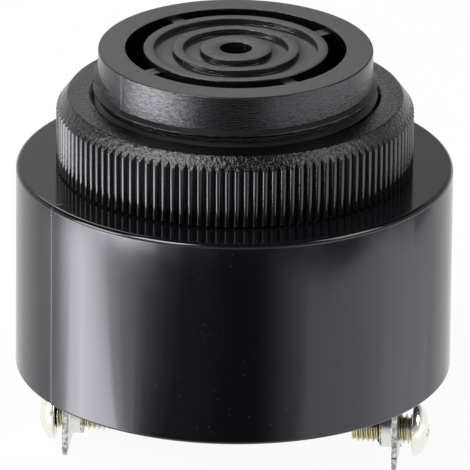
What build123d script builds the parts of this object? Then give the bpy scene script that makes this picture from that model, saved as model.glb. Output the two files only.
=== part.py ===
"""Panel-mounting piezo sounder with screw terminals, in millimetres.

The sounder stands on its two terminal blades: the origin is on the axis of the body, level with
the blade tips, +Z points out of the front and the terminals lie along X.
"""
from build123d import *
import os

os.makedirs("parts", exist_ok=True)

# Body of the housing
body_diameter = 43.0
body_height = 21.0
body_wall = 2.5
body_top_round = 0.55
body_bottom_round = 0.4
shoulder_wall = 2.0

# Neck of the housing: a threaded stretch drawn at its crest diameter, then a plain lead
neck_height = 12.1
thread_diameter = 27.9
thread_height = 9.4
thread_depth = 0.475
lead_edge_round = 0.17
neck_wall = 1.95
front_wall = 1.8

# Front grille: a rim, an open slot with bridges and a disc with two raised rings
rim_width = 2.645
slot_width = 1.78
bridge_count = 4
bridge_width = 1.4
bridge_recess = 0.45
bridge_bite = 0.3
bridge_turn = 39.0
outer_ring_width = 1.03
inner_ring_share = 0.685
inner_ring_width = 1.05
boss_share = 0.387
grille_recess = 0.6
sound_hole_diameter = 3.14

# Ring nut with a fluted edge
nut_wall = 3.53
nut_height = 7.3
nut_clearance = 0.07
nut_bore_chamfer = 0.3
nut_chamfer_width = 1.1
nut_chamfer_height = 1.45
nut_foot_chamfer = 0.25
flute_count = 120
flute_depth = 0.4

# Piezo element under the shoulder
seat_inset = 1.9
seat_width = 1.3
seat_height = 1.6
seal_thickness = 0.4
plate_inset = 1.5
plate_thickness = 0.3
ceramic_share = 0.657
ceramic_thickness = 0.25

# Back cover, set into the rear of the body
cover_clearance = 0.1
cover_ledge = 0.5
cover_recess = 0.5
cover_thickness = 2.5
post_diameter = 3.0
post_height = 3.0
post_count = 4
post_inset = 3.2

# Terminal blades
blade_reach = 9.65
blade_inset = 3.02
blade_width = 6.3
blade_thickness = 0.55
blade_corner = 0.5
blade_clearance = 0.05
stop_lip = 0.85
stop_height = 1.2
tail_width = 2.4
tail_rise = 0.8
collar_wall = 0.36
collar_length = 0.95

# Terminal screws, with a cross recess
screw_diameter = 3.0
screw_length = 6.0
screw_clearance = 0.04
screw_height = 3.1
screw_end_chamfer = 0.35
head_diameter = 5.3
head_height = 1.68
head_side = 0.75
recess_span = 2.9
recess_width = 0.75
recess_depth = 0.95
left_slack = 0.88
right_slack = 1.33

# Circuit board and its parts
board_clearance = 1.0
board_thickness = 1.6
leg_diameter = 0.6
leg_clearance = 0.1
leg_tail = 1.2
can_diameter = 6.3
can_height_share = 0.79
can_round = 0.5
can_legs = 2.5
coil_diameter = 8.0
coil_height_share = 0.79
coil_flange = 1.1
coil_spindle_diameter = 3.6
coil_winding_diameter = 7.2
coil_legs = 5.0
transistor_width = 4.6
transistor_depth = 3.6
transistor_height_share = 0.52
transistor_stand_share = 0.2
transistor_legs = 1.27
disc_cap_diameter_share = 0.565
disc_cap_thickness = 2.4
disc_cap_round_share = 0.33
disc_cap_stand_share = 0.09
disc_cap_legs = 2.5
diode_diameter = 2.6
diode_length = 5.2
resistor_diameter = 2.2
resistor_length = 6.2
resistor_waist = 0.2
resistor_cap_length = 1.5
axial_stand = 0.3
axial_reach = 1.5
wire_diameter = 0.8
wire_bend_share = 0.158
wire_arch_share = 0.475

# Places on the board as shares (x, y) of its radius, and the turn of the wire that meets the plate
can_place_shares = (0.456, 0.422)
coil_place_shares = (-0.411, 0.367)
transistor_place_shares = (0.422, -0.3)
disc_cap_place_shares = (-0.511, -0.233)
diode_place_shares = (0.0, 0.667)
bias_resistor_place_shares = (0.0, -0.467)
feedback_resistor_place_shares = (0.0, -0.689)
ceramic_wire_foot_shares = (0.067, 0.133)
ceramic_wire_end_shares = (0.256, -0.078)
feedback_wire_foot_shares = (-0.078, -0.122)
feedback_wire_end_shares = (-0.133, -0.378)
plate_wire_foot_shares = (0.744, 0.033)
plate_wire_turn = -21.0

# Smallest difference that tells two edges apart
edge_tolerance = 0.001

# Radii and levels that follow from the sizes above
body_radius = body_diameter / 2
cavity_radius = body_radius - body_wall
cover_hole_radius = cavity_radius + cover_ledge
cover_radius = cover_hole_radius - cover_clearance
thread_radius = thread_diameter / 2
lead_radius = thread_radius - thread_depth
throat_radius = lead_radius - neck_wall
slot_outer_radius = lead_radius - rim_width
slot_inner_radius = slot_outer_radius - slot_width
inner_ring_radius = slot_inner_radius * inner_ring_share
boss_radius = slot_inner_radius * boss_share
sound_hole_radius = sound_hole_diameter / 2
seat_radius = cavity_radius - seat_inset
plate_radius = cavity_radius - plate_inset
ceramic_radius = plate_radius * ceramic_share
nut_bore_radius = thread_radius + nut_clearance
nut_radius = nut_bore_radius + nut_wall
post_circle_radius = cavity_radius - post_inset
board_radius = cavity_radius - board_clearance
screw_radius = screw_diameter / 2
head_radius = head_diameter / 2
screw_hole_radius = screw_radius + screw_clearance
collar_radius = screw_hole_radius + collar_wall
stop_width = blade_width + 2 * stop_lip
blade_place = cover_radius - blade_inset
blade_inside = blade_place - blade_thickness / 2
blade_outside = blade_place + blade_thickness / 2

body_bottom = blade_reach
shoulder = body_bottom + body_height
shoulder_back = shoulder - shoulder_wall
thread_top = shoulder + thread_height
rim_top = shoulder + neck_height
front_back = rim_top - front_wall
grille_floor = rim_top - grille_recess
seat_foot = shoulder_back - seat_height
plate_top = seat_foot - seal_thickness
ceramic_top = plate_top - plate_thickness
ceramic_bottom = ceramic_top - ceramic_thickness
cover_bottom = body_bottom + cover_recess
cover_top = cover_bottom + cover_thickness
board_bottom = cover_top + post_height
board_top = board_bottom + board_thickness

# Heights of what stands in the room between the board and the ceramic
room = ceramic_bottom - board_top
can_height = room * can_height_share
coil_height = room * coil_height_share
transistor_height = room * transistor_height_share
transistor_stand = room * transistor_stand_share
disc_cap_diameter = room * disc_cap_diameter_share
disc_cap_stand = room * disc_cap_stand_share
disc_cap_round = disc_cap_thickness * disc_cap_round_share
wire_arch = room * wire_arch_share
wire_bend = room * wire_bend_share


def circles(part, radius, height):
    """Circular edges of a part about the Z axis, picked by their radius and level."""
    return [
        edge
        for edge in part.edges().filter_by(GeomType.CIRCLE)
        if abs(edge.radius - radius) < edge_tolerance
        and abs(edge.center().Z - height) < edge_tolerance
    ]


# Housing: one moulding, with body, neck and front in one section, then the disc and its bridges
with BuildPart() as housing:
    with BuildSketch(Plane.XZ):
        with BuildLine():
            Polyline(
                (cover_hole_radius, body_bottom),
                (body_radius, body_bottom),
                (body_radius, shoulder),
                (thread_radius, shoulder),
                (thread_radius, thread_top - thread_depth),
                (lead_radius, thread_top),
                (lead_radius, rim_top),
                (slot_outer_radius, rim_top),
                (slot_outer_radius, front_back),
                (throat_radius, front_back),
                (throat_radius, shoulder_back),
                (seat_radius - seat_width, shoulder_back),
                (seat_radius - seat_width, seat_foot),
                (seat_radius, seat_foot),
                (seat_radius, shoulder_back),
                (cavity_radius, shoulder_back),
                (cavity_radius, cover_top),
                (cover_hole_radius, cover_top),
                close=True,
            )
        make_face()
    revolve(axis=Axis.Z)
    fillet(circles(housing, body_radius, shoulder), body_top_round)
    fillet(circles(housing, body_radius, body_bottom), body_bottom_round)
    fillet(circles(housing, lead_radius, rim_top), lead_edge_round)
    with BuildSketch(Plane.XZ):
        with BuildLine():
            Polyline(
                (sound_hole_radius, front_back),
                (slot_inner_radius, front_back),
                (slot_inner_radius, rim_top),
                (slot_inner_radius - outer_ring_width, rim_top),
                (slot_inner_radius - outer_ring_width, grille_floor),
                (inner_ring_radius, grille_floor),
                (inner_ring_radius, rim_top),
                (inner_ring_radius - inner_ring_width, rim_top),
                (inner_ring_radius - inner_ring_width, grille_floor),
                (boss_radius, grille_floor),
                (boss_radius, rim_top),
                (sound_hole_radius, rim_top),
                close=True,
            )
        make_face()
    revolve(axis=Axis.Z)
    with BuildSketch(Plane.XY.offset(front_back)):
        with PolarLocations((slot_outer_radius + slot_inner_radius) / 2, bridge_count, bridge_turn):
            Rectangle(slot_outer_radius - slot_inner_radius + 2 * bridge_bite, bridge_width)
    extrude(amount=front_wall - bridge_recess)
housing.part.label = "housing"
export_step(housing.part, "parts/housing.step")

# Ring nut: a turned blank with a bore, cut round its edge by V flutes that run out in the chamfer
with BuildPart() as ring_nut:
    with BuildSketch(Plane.XY.offset(shoulder)):
        with BuildLine():
            flute_points = []
            for step in range(flute_count):
                for half, radius in ((0, nut_radius), (1, nut_radius - flute_depth)):
                    turn = (2 * step + half) * 180 / flute_count
                    flute_points.append(Vector(radius, 0).rotate(Axis.Z, turn))
            Polyline(*flute_points, close=True)
        make_face()
        Circle(nut_bore_radius, mode=Mode.SUBTRACT)
    extrude(amount=nut_height)
    with BuildSketch(Plane.XZ):
        with BuildLine():
            Polyline(
                (nut_bore_radius + nut_bore_chamfer, shoulder),
                (nut_radius - nut_foot_chamfer, shoulder),
                (nut_radius, shoulder + nut_foot_chamfer),
                (nut_radius, shoulder + nut_height - nut_chamfer_height),
                (nut_radius - nut_chamfer_width, shoulder + nut_height),
                (nut_bore_radius + nut_bore_chamfer, shoulder + nut_height),
                (nut_bore_radius, shoulder + nut_height - nut_bore_chamfer),
                (nut_bore_radius, shoulder + nut_bore_chamfer),
                close=True,
            )
        make_face()
    revolve(axis=Axis.Z, mode=Mode.INTERSECT)
ring_nut.part.label = "ring_nut"
export_step(ring_nut.part, "parts/ring_nut.step")

# Piezo element: a silicone seal, the brass plate and the ceramic disc bonded to it
with BuildPart() as diaphragm_seal:
    with BuildSketch(Plane.XY.offset(plate_top)):
        Circle(seat_radius)
        Circle(seat_radius - seat_width, mode=Mode.SUBTRACT)
    extrude(amount=seal_thickness)
diaphragm_seal.part.label = "diaphragm_seal"
export_step(diaphragm_seal.part, "parts/diaphragm_seal.step")

with BuildPart() as diaphragm_plate:
    with BuildSketch(Plane.XY.offset(ceramic_top)):
        Circle(plate_radius)
    extrude(amount=plate_thickness)
diaphragm_plate.part.label = "diaphragm_plate"
export_step(diaphragm_plate.part, "parts/diaphragm_plate.step")

with BuildPart() as ceramic_disc:
    with BuildSketch(Plane.XY.offset(ceramic_bottom)):
        Circle(ceramic_radius)
    extrude(amount=ceramic_thickness)
ceramic_disc.part.label = "ceramic_disc"
export_step(ceramic_disc.part, "parts/ceramic_disc.step")

# Back cover: a plate on the ledge of the body, with posts for the board and slots for the blades
with BuildPart() as back_cover:
    with BuildSketch(Plane.XY.offset(cover_bottom)):
        Circle(cover_radius)
    extrude(amount=cover_thickness)
    with BuildSketch(Plane.XY.offset(cover_top)):
        with PolarLocations(post_circle_radius, post_count, 180 / post_count):
            Circle(post_diameter / 2)
    extrude(amount=post_height)
    with BuildSketch(Plane.XY.offset(cover_bottom)):
        with Locations((-blade_place, 0), (blade_place, 0)):
            Rectangle(blade_thickness + 2 * blade_clearance, blade_width + 2 * blade_clearance)
    extrude(amount=cover_thickness, mode=Mode.SUBTRACT)
back_cover.part.label = "back_cover"
export_step(back_cover.part, "parts/back_cover.step")

# Terminals: a stamped blade with a stop on the cover, a solder tail and an extruded collar
with BuildPart() as terminal_right:
    with BuildSketch(Plane.YZ.offset(blade_inside)):
        with BuildLine():
            Polyline(
                (-blade_width / 2, blade_corner),
                (-blade_width / 2 + blade_corner, 0),
                (blade_width / 2 - blade_corner, 0),
                (blade_width / 2, blade_corner),
                (blade_width / 2, cover_top),
                (stop_width / 2, cover_top),
                (stop_width / 2, cover_top + stop_height),
                (tail_width / 2, cover_top + stop_height),
                (tail_width / 2, board_top + tail_rise),
                (-tail_width / 2, board_top + tail_rise),
                (-tail_width / 2, cover_top + stop_height),
                (-stop_width / 2, cover_top + stop_height),
                (-stop_width / 2, cover_top),
                (-blade_width / 2, cover_top),
                close=True,
            )
        make_face()
    extrude(amount=blade_thickness)
    with BuildSketch(Plane.YZ.offset(blade_inside)):
        with Locations((0, screw_height)):
            Circle(collar_radius)
    extrude(amount=-collar_length)
    with BuildSketch(Plane.YZ.offset(blade_inside - collar_length)):
        with Locations((0, screw_height)):
            Circle(screw_hole_radius)
    extrude(amount=collar_length + blade_thickness, mode=Mode.SUBTRACT)
terminal_right.part.label = "terminal_right"
export_step(terminal_right.part, "parts/terminal_right.step")

with BuildPart() as terminal_left:
    mirror(terminal_right.part, about=Plane.YZ)
terminal_left.part.label = "terminal_left"
export_step(terminal_left.part, "parts/terminal_left.step")


def make_screw(slack):
    """Pan-head screw of the right-hand terminal, with a gap of slack between head and blade."""
    seat = blade_outside + slack
    with BuildPart() as screw:
        with BuildSketch(Plane.XZ):
            with BuildLine():
                Polyline(
                    (seat - screw_length, screw_height),
                    (seat - screw_length, screw_height + screw_radius - screw_end_chamfer),
                    (seat - screw_length + screw_end_chamfer, screw_height + screw_radius),
                    (seat, screw_height + screw_radius),
                    (seat, screw_height + head_radius),
                    (seat + head_side, screw_height + head_radius),
                )
                RadiusArc(
                    (seat + head_side, screw_height + head_radius),
                    (seat + head_height, screw_height),
                    -(head_radius**2 + (head_height - head_side) ** 2) / (2 * (head_height - head_side)),
                )
                Line((seat + head_height, screw_height), (seat - screw_length, screw_height))
            make_face()
        revolve(axis=Axis((0, 0, screw_height), (1, 0, 0)))
        with BuildSketch(Plane.YZ.offset(seat + head_height - recess_depth)):
            with Locations((0, screw_height)):
                Rectangle(recess_span, recess_width)
                Rectangle(recess_width, recess_span)
        extrude(amount=recess_depth, mode=Mode.SUBTRACT)
    return screw


terminal_screw_right = make_screw(right_slack)
terminal_screw_right.part.label = "terminal_screw_right"
export_step(terminal_screw_right.part, "parts/terminal_screw_right.step")

with BuildPart() as terminal_screw_left:
    mirror(make_screw(left_slack).part, about=Plane.YZ)
terminal_screw_left.part.label = "terminal_screw_left"
export_step(terminal_screw_left.part, "parts/terminal_screw_left.step")


def in_line(place, spacing, count=2):
    """Places of a part's legs, in a row along X about the part's own place."""
    first = -spacing * (count - 1) / 2
    return [(place[0] + first + spacing * leg, place[1]) for leg in range(count)]


def on_board(shares):
    """Place (x, y) on the board from its shares of the board's radius."""
    return (shares[0] * board_radius, shares[1] * board_radius)


can_place = on_board(can_place_shares)
coil_place = on_board(coil_place_shares)
transistor_place = on_board(transistor_place_shares)
disc_cap_place = on_board(disc_cap_place_shares)
diode_place = on_board(diode_place_shares)
bias_resistor_place = on_board(bias_resistor_place_shares)
feedback_resistor_place = on_board(feedback_resistor_place_shares)
ceramic_wire_foot = on_board(ceramic_wire_foot_shares)
ceramic_wire_end = on_board(ceramic_wire_end_shares)
feedback_wire_foot = on_board(feedback_wire_foot_shares)
feedback_wire_end = on_board(feedback_wire_end_shares)
plate_wire_foot = on_board(plate_wire_foot_shares)
plate_wire_end = Vector((ceramic_radius + plate_radius) / 2, 0).rotate(Axis.Z, plate_wire_turn)
diode_legs = diode_length + 2 * axial_reach
resistor_legs = resistor_length + 2 * axial_reach
can_leg_places = in_line(can_place, can_legs)
coil_leg_places = in_line(coil_place, coil_legs)
transistor_leg_places = in_line(transistor_place, transistor_legs, 3)
disc_cap_leg_places = in_line(disc_cap_place, disc_cap_legs)
diode_leg_places = in_line(diode_place, diode_legs)
bias_leg_places = in_line(bias_resistor_place, resistor_legs)
feedback_leg_places = in_line(feedback_resistor_place, resistor_legs)
leg_places = (
    can_leg_places
    + coil_leg_places
    + transistor_leg_places
    + disc_cap_leg_places
    + diode_leg_places
    + bias_leg_places
    + feedback_leg_places
)
wire_places = [ceramic_wire_foot, feedback_wire_foot, plate_wire_foot]

# Circuit board: on the posts of the cover, with holes for legs and wires and slots for the tails
with BuildPart() as circuit_board:
    with BuildSketch(Plane.XY.offset(board_bottom)):
        Circle(board_radius)
        with Locations(*leg_places):
            Circle(leg_diameter / 2 + leg_clearance, mode=Mode.SUBTRACT)
        with Locations(*wire_places):
            Circle(wire_diameter / 2 + leg_clearance, mode=Mode.SUBTRACT)
        with Locations((-blade_place, 0), (blade_place, 0)):
            Rectangle(
                blade_thickness + 2 * leg_clearance,
                tail_width + 2 * leg_clearance,
                mode=Mode.SUBTRACT,
            )
    extrude(amount=board_thickness)
circuit_board.part.label = "circuit_board"
export_step(circuit_board.part, "parts/circuit_board.step")


def add_legs(places, level):
    """Adds round legs to the part in hand, from below the board up to a level in its body."""
    with BuildSketch(Plane.XY.offset(board_bottom - leg_tail)) as legs:
        with Locations(*places):
            Circle(leg_diameter / 2)
    extrude(legs.sketch, amount=level - board_bottom + leg_tail)


# Smoothing capacitor: an upright can on the board
with BuildPart() as smoothing_capacitor:
    with BuildSketch(Plane.XY.offset(board_top)):
        with Locations(can_place):
            Circle(can_diameter / 2)
    extrude(amount=can_height)
    fillet(smoothing_capacitor.edges().group_by(Axis.Z)[-1], can_round)
    add_legs(can_leg_places, board_top)
smoothing_capacitor.part.label = "smoothing_capacitor"
export_step(smoothing_capacitor.part, "parts/smoothing_capacitor.step")

# Drive coil: a ferrite drum core and the winding that fills it
with BuildPart() as coil_core:
    with BuildSketch(Plane.XY.offset(board_top)):
        with Locations(coil_place):
            Circle(coil_spindle_diameter / 2)
    extrude(amount=coil_height)
    for flange_level in (board_top, board_top + coil_height - coil_flange):
        with BuildSketch(Plane.XY.offset(flange_level)):
            with Locations(coil_place):
                Circle(coil_diameter / 2)
        extrude(amount=coil_flange)
    add_legs(coil_leg_places, board_top)
coil_core.part.label = "coil_core"
export_step(coil_core.part, "parts/coil_core.step")

with BuildPart() as coil_winding:
    with BuildSketch(Plane.XY.offset(board_top + coil_flange)):
        with Locations(coil_place):
            Circle(coil_winding_diameter / 2)
            Circle(coil_spindle_diameter / 2, mode=Mode.SUBTRACT)
    extrude(amount=coil_height - 2 * coil_flange)
coil_winding.part.label = "coil_winding"
export_step(coil_winding.part, "parts/coil_winding.step")

# Drive transistor: a round-backed moulding with a flat face, on three legs
with BuildPart() as drive_transistor:
    with BuildSketch(Plane.XY.offset(board_top + transistor_stand)):
        with Locations(transistor_place):
            Circle(transistor_width / 2)
            with Locations((0, transistor_depth - transistor_width / 2)):
                Rectangle(
                    transistor_width,
                    transistor_width,
                    align=(Align.CENTER, Align.MIN),
                    mode=Mode.SUBTRACT,
                )
    extrude(amount=transistor_height)
    add_legs(transistor_leg_places, board_top + transistor_stand)
drive_transistor.part.label = "drive_transistor"
export_step(drive_transistor.part, "parts/drive_transistor.step")

# Timing capacitor: a dipped disc standing on edge
with BuildPart() as timing_capacitor:
    disc_level = board_top + disc_cap_stand + disc_cap_diameter / 2
    with BuildSketch(Plane.XZ.offset(-disc_cap_place[1])):
        with Locations((disc_cap_place[0], disc_level)):
            Circle(disc_cap_diameter / 2)
    extrude(amount=disc_cap_thickness / 2, both=True)
    fillet(timing_capacitor.edges().filter_by(GeomType.CIRCLE), disc_cap_round)
    add_legs(disc_cap_leg_places, disc_level)
timing_capacitor.part.label = "timing_capacitor"
export_step(timing_capacitor.part, "parts/timing_capacitor.step")


def make_axial(place, legs, outline):
    """Part lying along X with a leg bent down at each end: outline gives its (x, radius) steps."""
    biggest = max(radius for along, radius in outline)
    level = board_top + axial_stand + biggest
    with BuildPart() as axial:
        for start, end in zip(outline, outline[1:]):
            with BuildSketch(Plane.YZ.offset(place[0] + start[0])):
                with Locations((place[1], level)):
                    Circle(start[1])
            extrude(amount=end[0] - start[0])
        for side in (-1, 1):
            with BuildLine() as route:
                FilletPolyline(
                    (place[0] + side * outline[-1][0], place[1], level),
                    (place[0] + side * legs / 2, place[1], level),
                    (place[0] + side * legs / 2, place[1], board_bottom - leg_tail),
                    radius=leg_diameter,
                )
            with BuildSketch(Plane.YZ.offset(place[0] + side * outline[-1][0])):
                with Locations((place[1], level)):
                    Circle(leg_diameter / 2)
            sweep(path=route.line)
    return axial


# Polarity diode, and two resistors with fatter ends
polarity_diode = make_axial(
    diode_place,
    diode_legs,
    [(-diode_length / 2, diode_diameter / 2), (diode_length / 2, diode_diameter / 2)],
)
polarity_diode.part.label = "polarity_diode"
export_step(polarity_diode.part, "parts/polarity_diode.step")

resistor_outline = [
    (-resistor_length / 2, resistor_diameter / 2),
    (-resistor_length / 2 + resistor_cap_length, resistor_diameter / 2 - resistor_waist),
    (resistor_length / 2 - resistor_cap_length, resistor_diameter / 2),
    (resistor_length / 2, resistor_diameter / 2),
]
bias_resistor = make_axial(bias_resistor_place, resistor_legs, resistor_outline)
bias_resistor.part.label = "bias_resistor"
export_step(bias_resistor.part, "parts/bias_resistor.step")

feedback_resistor = make_axial(feedback_resistor_place, resistor_legs, resistor_outline)
feedback_resistor.part.label = "feedback_resistor"
export_step(feedback_resistor.part, "parts/feedback_resistor.step")


def make_wire(foot, end, top):
    """Insulated wire from its hole in the board, up and across to a contact at level top."""
    with BuildPart() as wire:
        with BuildLine() as route:
            FilletPolyline(
                (foot[0], foot[1], board_bottom - leg_tail),
                (foot[0], foot[1], board_top + wire_arch),
                (end[0], end[1], board_top + wire_arch),
                (end[0], end[1], top),
                radius=wire_bend,
            )
        with BuildSketch(Plane((foot[0], foot[1], board_bottom - leg_tail))):
            Circle(wire_diameter / 2)
        sweep(path=route.line)
    return wire


# Wires from the board to the two electrodes of the ceramic and to the brass plate
ceramic_wire = make_wire(ceramic_wire_foot, ceramic_wire_end, ceramic_bottom)
ceramic_wire.part.label = "ceramic_wire"
export_step(ceramic_wire.part, "parts/ceramic_wire.step")

feedback_wire = make_wire(feedback_wire_foot, feedback_wire_end, ceramic_bottom)
feedback_wire.part.label = "feedback_wire"
export_step(feedback_wire.part, "parts/feedback_wire.step")

plate_wire = make_wire(plate_wire_foot, (plate_wire_end.X, plate_wire_end.Y), ceramic_top)
plate_wire.part.label = "plate_wire"
export_step(plate_wire.part, "parts/plate_wire.step")
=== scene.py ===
"""Panel-mounting piezo sounder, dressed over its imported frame: housing, ring nut, terminals and screws."""
import math
from functools import partial

import bpy
from bpy.props import FloatProperty, IntProperty, PointerProperty, StringProperty
from mathutils import Euler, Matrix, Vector


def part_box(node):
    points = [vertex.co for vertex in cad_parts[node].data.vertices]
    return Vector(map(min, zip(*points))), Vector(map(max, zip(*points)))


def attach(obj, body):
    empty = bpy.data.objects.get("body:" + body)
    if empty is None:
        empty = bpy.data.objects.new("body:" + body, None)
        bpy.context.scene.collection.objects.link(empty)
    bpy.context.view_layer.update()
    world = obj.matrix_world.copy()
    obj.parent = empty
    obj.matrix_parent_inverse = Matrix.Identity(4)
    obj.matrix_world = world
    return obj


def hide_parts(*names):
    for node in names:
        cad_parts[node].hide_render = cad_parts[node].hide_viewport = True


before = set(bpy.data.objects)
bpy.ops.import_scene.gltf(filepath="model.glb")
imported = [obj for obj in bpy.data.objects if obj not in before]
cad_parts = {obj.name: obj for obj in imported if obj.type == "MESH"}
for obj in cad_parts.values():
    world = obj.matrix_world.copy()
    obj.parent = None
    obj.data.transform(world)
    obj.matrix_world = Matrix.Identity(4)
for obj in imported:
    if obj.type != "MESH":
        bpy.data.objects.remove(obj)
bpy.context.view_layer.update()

bl_info = {
    "name": "Piezo sounder",
    "version": (1, 0, 0),
    "blender": (4, 5, 0),
    "location": "3D View > Sidebar > Sounder",
    "description": "Models and finishes a panel-mounting piezo sounder over its CAD frame",
    "category": "Object",
}

MM = 0.001
HOUSING_LOW, HOUSING_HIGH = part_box("housing")
NUT_LOW, NUT_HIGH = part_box("ring_nut")
BLADE_LOW, BLADE_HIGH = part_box("terminal_right")
# Upper face of the cover's plate, 2.5 mm thick: the blades' stops and the housing's ledge meet it
COVER_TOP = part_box("back_cover")[0][2] + 2.5 * MM
# Vertices nearer than this are one
WELD = 0.0005 * MM


def length(name, description, default):
    """A length property in metres, shown in the scene's unit."""
    return FloatProperty(name=name, description=description, default=default, unit="LENGTH", precision=5)


def finish(name, description, default):
    """A colour property, as an sRGB hex value."""
    return StringProperty(name=name, description=description, default=default)


class HousingSizes(bpy.types.PropertyGroup):
    """Sizes of the moulded housing, its neck and its grille."""

    body_radius: length("Body radius", "Radius of the round body", HOUSING_HIGH[0])
    body_bottom: length("Body bottom", "Level of the body's lower edge", HOUSING_LOW[2])
    shoulder: length("Shoulder", "Level of the shoulder that the panel rests on", NUT_LOW[2])
    rim_top: length("Rim top", "Level of the grille's rim", HOUSING_HIGH[2])
    body_top_round: length("Upper edge round", "Radius on the body's upper edge", 0.5 * MM)
    body_bottom_round: length("Lower edge round", "Radius on the body's lower edge", 0.35 * MM)
    neck_radius: length("Neck radius", "Radius of the neck between its threads", 13.475 * MM)
    thread_radius: length("Thread radius", "Radius of the thread's crest", 13.95 * MM)
    thread_pitch: length("Thread pitch", "Rise of the neck's thread in one turn", 1.25 * MM)
    thread_end: length("Thread end", "Height above the shoulder where the thread runs out", 9.33 * MM)
    thread_end_turn: FloatProperty(
        name="Thread end turn",
        description="Direction in which the thread runs out, from +X",
        default=math.radians(222),
        subtype="ANGLE",
    )
    slot_outer: length("Slot outside", "Outer radius of the grille's slot", 10.83 * MM)
    slot_inner: length("Slot inside", "Inner radius of the grille's slot", 9.05 * MM)
    front_wall: length("Front wall", "Thickness of the grille", 1.8 * MM)
    grille_recess: length("Grille recess", "Depth of the rings' floor under the rim", 0.6 * MM)
    bridge_width: length("Bridge width", "Width of the webs across the slot", 1.4 * MM)
    bridge_recess: length("Bridge recess", "Depth of the webs under the rim", 0.45 * MM)
    mould_turn: FloatProperty(
        name="Mould line turn",
        description="Direction of the mould's parting line, from +X",
        default=math.radians(39.3),
        subtype="ANGLE",
    )


class RingNutSizes(bpy.types.PropertyGroup):
    """Sizes of the fluted ring nut."""

    radius: length("Radius", "Radius over the flutes' crests", 17.55 * MM)
    bore: length("Bore", "Radius of the bore", 14.02 * MM)
    bottom: length("Bottom", "Level of the nut's foot", NUT_LOW[2])
    top: length("Top", "Level of the nut's top", NUT_HIGH[2])
    chamfer_width: length("Chamfer width", "Width of the chamfer above the flutes", 1.1 * MM)
    chamfer_height: length("Chamfer height", "Height of the chamfer above the flutes", 1.45 * MM)
    foot_chamfer: length("Foot chamfer", "Chamfer below the flutes", 0.25 * MM)
    flutes: IntProperty(name="Flutes", description="Flutes round the edge", default=120, min=12)
    flute_depth: length("Flute depth", "Depth of the flutes", 0.43 * MM)


class TerminalSizes(bpy.types.PropertyGroup):
    """Sizes of the terminal blades and of their screws."""

    blade_outside: length("Blade outside", "Distance of the blade's outer face from the axis", BLADE_HIGH[0])
    blade_thickness: length("Blade thickness", "Thickness of the blade's sheet", 0.55 * MM)
    blade_width: length("Blade width", "Width of the push-on tab", 6.3 * MM)
    blade_corner: length("Blade corner", "Chamfer on the tab's lower corners", 0.5 * MM)
    stop_width: length("Stop width", "Width of the stop above the cover", BLADE_HIGH[1] - BLADE_LOW[1])
    stop_height: length("Stop height", "Height of the stop above the cover", 1.2 * MM)
    tail_width: length("Tail width", "Width of the solder tail", 2.4 * MM)
    collar_radius: length("Collar radius", "Radius of the tapped collar", 1.9 * MM)
    collar_length: length("Collar length", "Length of the tapped collar", 1.35 * MM)
    hole_radius: length("Hole radius", "Radius of the hole for the screw", 1.54 * MM)
    screw_level: length("Screw level", "Level of the screws' axis", 3.1 * MM)
    screw_radius: length("Screw radius", "Radius over the screw's thread", 1.5 * MM)
    screw_root: length("Screw root", "Radius at the root of the screw's thread", 1.16 * MM)
    screw_pitch: length("Screw pitch", "Pitch of the screw's thread", 0.5 * MM)
    screw_length: length("Screw length", "Length of the screw under its head", 6.0 * MM)
    head_radius: length("Head radius", "Radius of the screw's head", 2.65 * MM)
    head_height: length("Head height", "Height of the screw's head", 1.68 * MM)
    head_side: length("Head side", "Height of the head's straight side", 0.62 * MM)
    recess_span: length("Recess span", "Width of the cross recess", 2.9 * MM)
    recess_width: length("Recess width", "Width of the recess's slots", 0.75 * MM)
    recess_depth: length("Recess depth", "Depth of the cross recess", 0.95 * MM)


class FinishColours(bpy.types.PropertyGroup):
    """Colours of the finishes, as sRGB hex values."""

    housing: finish("Housing", "Black of the moulded housing", "#0a0a0e")
    nut: finish("Ring nut", "Black of the ring nut", "#08080b")
    cover: finish("Back cover", "Black of the back cover", "#121214")
    tin: finish("Tin", "Tin plating of the blades", "#e4e4e0")
    tin_dull: finish("Dull tin", "Sheared and handled edges of the blades", "#86878c")
    nickel: finish("Nickel", "Plating of the screws", "#f3f2e6")
    # Darker yellow that paints shade into the screws' threads
    nickel_thread_shade: finish("Yellowed nickel", "Yellowed plating in the screws' threads", "#bcb28c")
    brass: finish("Brass", "Rolled brass of the diaphragm", "#c9a24f")
    ceramic: finish("Ceramic", "Silvered face of the ceramic disc", "#d9d5ca")
    silicone: finish("Silicone", "Silicone of the seal", "#d8d8d4")
    board: finish("Board", "Phenolic paper laminate", "#a3793f")
    epoxy: finish("Epoxy", "Black moulding epoxy", "#17171a")
    ferrite: finish("Ferrite", "Sintered ferrite", "#35353a")
    copper: finish("Enamelled copper", "Winding of the coil", "#a8571f")
    sleeve: finish("Sleeve", "Sleeve of the capacitor's can", "#1d2340")
    dipped: finish("Dipped coat", "Dipped coat of the small capacitor", "#b9822e")
    lacquer: finish("Lacquer", "Lacquer of the resistors", "#bfa578")
    red_wire: finish("Red wire", "Insulation of the wire to the ceramic", "#9c1c18")
    blue_wire: finish("Blue wire", "Insulation of the feedback wire", "#20408f")
    black_wire: finish("Black wire", "Insulation of the wire to the plate", "#161618")
    floor: finish("Floor", "Paper of the floor and backdrop", "#f4f4f4")


def linear(code):
    """Linear RGBA of an sRGB hex value."""
    parts = [int(code[i : i + 2], 16) / 255 for i in (1, 3, 5)]
    return [c / 12.92 if c <= 0.04045 else ((c + 0.055) / 1.055) ** 2.4 for c in parts] + [1.0]


def add_node(tree, kind, inputs=None, **settings):
    """Adds a node with its settings, and sets or links its inputs by name or number."""
    node = tree.nodes.new(kind)
    for key, value in settings.items():
        setattr(node, key, value)
    for key, value in (inputs or {}).items():
        if isinstance(value, bpy.types.NodeSocket):
            tree.links.new(value, node.inputs[key])
        else:
            node.inputs[key].default_value = value
    return node


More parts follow.
